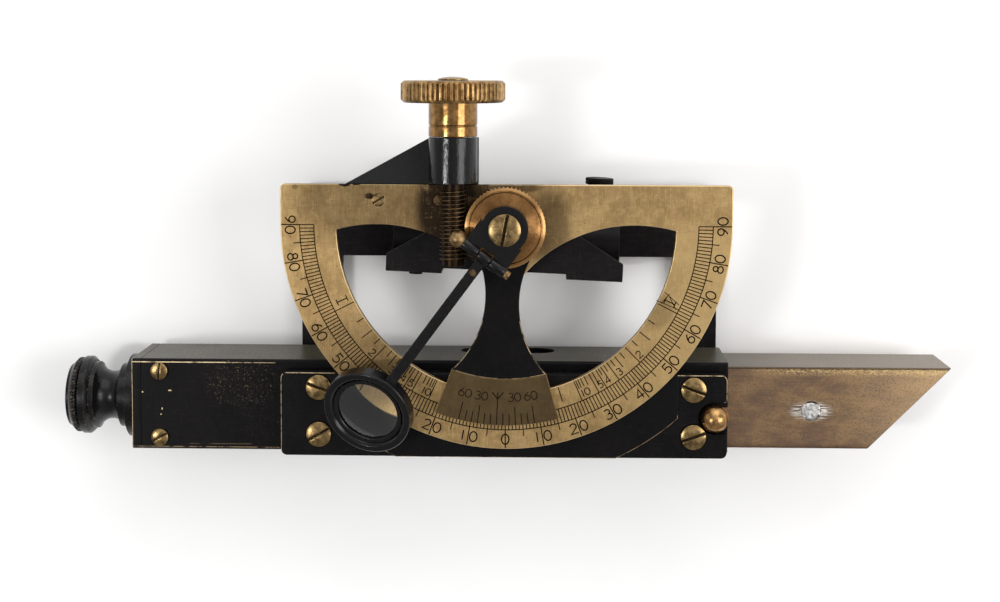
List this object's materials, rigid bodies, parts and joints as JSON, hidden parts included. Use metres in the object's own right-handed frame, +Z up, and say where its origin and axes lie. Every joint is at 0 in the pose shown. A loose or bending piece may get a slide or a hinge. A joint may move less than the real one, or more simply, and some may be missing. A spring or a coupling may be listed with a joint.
{
  "type": "sighting level",
  "caption": "Square sighting tube with a sliding draw tube, and a graduated limb whose worm-driven vernier index tilts a bubble to read slopes under a folding loupe.",
  "frame": {"origin": "on the sight tube's underside, below the pivot of the index", "axes": "+X along the tube towards the draw tube, +Z up, -Y towards whoever reads the limb"},
  "size_m": [0.154, 0.037, 0.0649],
  "materials": {
    "black_bronze": "black-bronzed brass, worn to bare metal on the edges",
    "aged_brass": "aged brass with fine brushing",
    "bright_brass": "turned brass",
    "clear_glass": "clear glass",
    "silvered_mirror": "silvered mirror",
    "solder": "dull soft metal"
  },
  "bodies": {
    "frame": {"sight_tube": "black_bronze", "eye_end": "black_bronze", "end_screws": "bright_brass", "side_plate": "black_bronze", "plate_screws": "bright_brass", "limb": "aged_brass", "limb_bush": "bright_brass", "rear_frame": "black_bronze", "frame_screws": "bright_brass", "worm_bracket": "black_bronze", "bracket_screw": "bright_brass", "bracket_pin": "bright_brass", "mirror": "silvered_mirror", "mirror_block": "black_bronze"},
    "index": {"index_arbor": "bright_brass", "worm_wheel": "bright_brass", "vernier_arm": "black_bronze", "vernier_plate": "aged_brass", "bubble_cradle": "black_bronze", "bubble_case": "black_bronze", "bubble_vial": "clear_glass", "case_plugs": "black_bronze", "adjusting_screws": "black_bronze", "rear_trunnion": "bright_brass", "centre_screw": "bright_brass"},
    "worm": {"worm_shaft": "bright_brass", "worm_collar": "bright_brass", "knob": "bright_brass", "knob_screw": "bright_brass"},
    "swivel": {"loupe_swivel": "black_bronze", "hinge_pin": "bright_brass"},
    "loupe": {"loupe_arm": "black_bronze", "loupe_cell": "black_bronze", "loupe_lens": "clear_glass", "lens_ring": "black_bronze", "arm_rivet": "bright_brass"},
    "draw": {"draw_tube": "aged_brass", "ball_stud": "bright_brass", "hole_fill": "solder", "wire_frame": "bright_brass", "cross_wire": "solder"},
    "eye": {"eyepiece": "black_bronze", "eye_lens": "clear_glass"}
  },
  "joints": [
    {"name": "worm_turn", "type": "hinge", "parent": "frame", "child": "worm", "pos_m": [-0.0087, -0.01724, 0.0399], "axis": [0, 0, 1], "range_deg": [-5250, 5550]},
    {"name": "index_turn", "type": "hinge", "parent": "frame", "child": "index", "pos_m": [0, -0.01724, 0.0399], "axis": [0, 1, 0], "range_deg": [-92.5, 87.5]},
    {"name": "loupe_swing", "type": "hinge", "parent": "frame", "child": "swivel", "pos_m": [0, -0.02119, 0.0399], "axis": [0, 1, 0], "range_deg": [-126.6, 53.4]},
    {"name": "loupe_fold", "type": "hinge", "parent": "swivel", "child": "loupe", "pos_m": [-0.00342, -0.02119, 0.03529], "axis": [-0.8028, 0, 0.5962], "range_deg": [0, 100]},
    {"name": "draw_slide", "type": "slide", "parent": "frame", "child": "draw", "axis": [1, 0, 0], "range_m": [0, 0.016]},
    {"name": "eyepiece_turn", "type": "hinge", "parent": "frame", "child": "eye", "pos_m": [-0.0651, 0, 0.00794], "axis": [-1, 0, 0], "continuous": true}
  ],
  "couplings": [
    {"joint": "index_turn", "follows": "worm_turn", "ratio": -0.016667}
  ]
}
